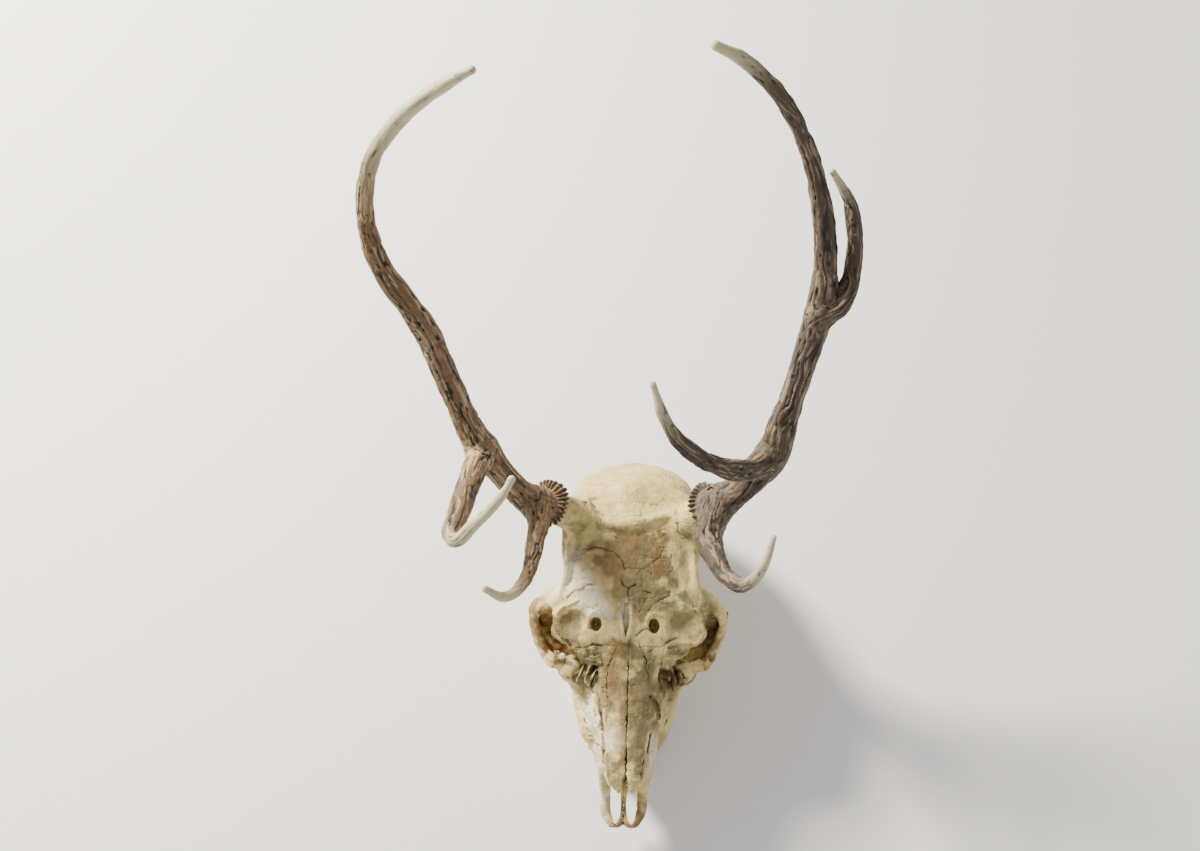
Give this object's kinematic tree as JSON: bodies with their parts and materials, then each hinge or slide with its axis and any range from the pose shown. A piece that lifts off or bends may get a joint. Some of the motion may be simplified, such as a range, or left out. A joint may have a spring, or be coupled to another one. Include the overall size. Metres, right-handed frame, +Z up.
{
  "type": "deer skull",
  "caption": "Bleached stag cranium with both branched antlers, no lower jaw, lying upper side up on its rear cheek teeth and ear processes.",
  "frame": {"origin": "middle of the whole part's box in plan, on the floor that the last molars and ear processes stand on", "axes": "+Z up, -Y towards the nose, +X towards the animal's left"},
  "size_m": [0.3708, 0.4562, 0.4984],
  "materials": {
    "bone": "dry old bone, cream to tan, matt with a faint sheen on the dome",
    "bleached_bone": "sun-bleached porous bone, chalky",
    "antler": "furrowed brown antler, satin ridges over dark grooves",
    "tine": "antler worn smooth and pale towards the tips"
  },
  "bodies": {
    "root": {"frontal_bone": "bone", "braincase": "bone", "nasal_bone_left": "bone", "nasal_bone_right": "bone", "cheekbone_left": "bone", "cheekbone_right": "bone", "premaxilla_left": "bleached_bone", "premaxilla_right": "bleached_bone", "upper_jaw_left": "bleached_bone", "upper_jaw_right": "bleached_bone", "antler_base_left": "antler", "antler_middle_left": "antler", "antler_top_left": "antler", "antler_base_right": "antler", "antler_upper_right": "antler", "brow_tine_left": "tine", "tray_tine_left": "tine", "back_tine_left": "tine", "brow_tine_right": "tine", "tray_tine_right": "tine"}
  },
  "joints": []
}
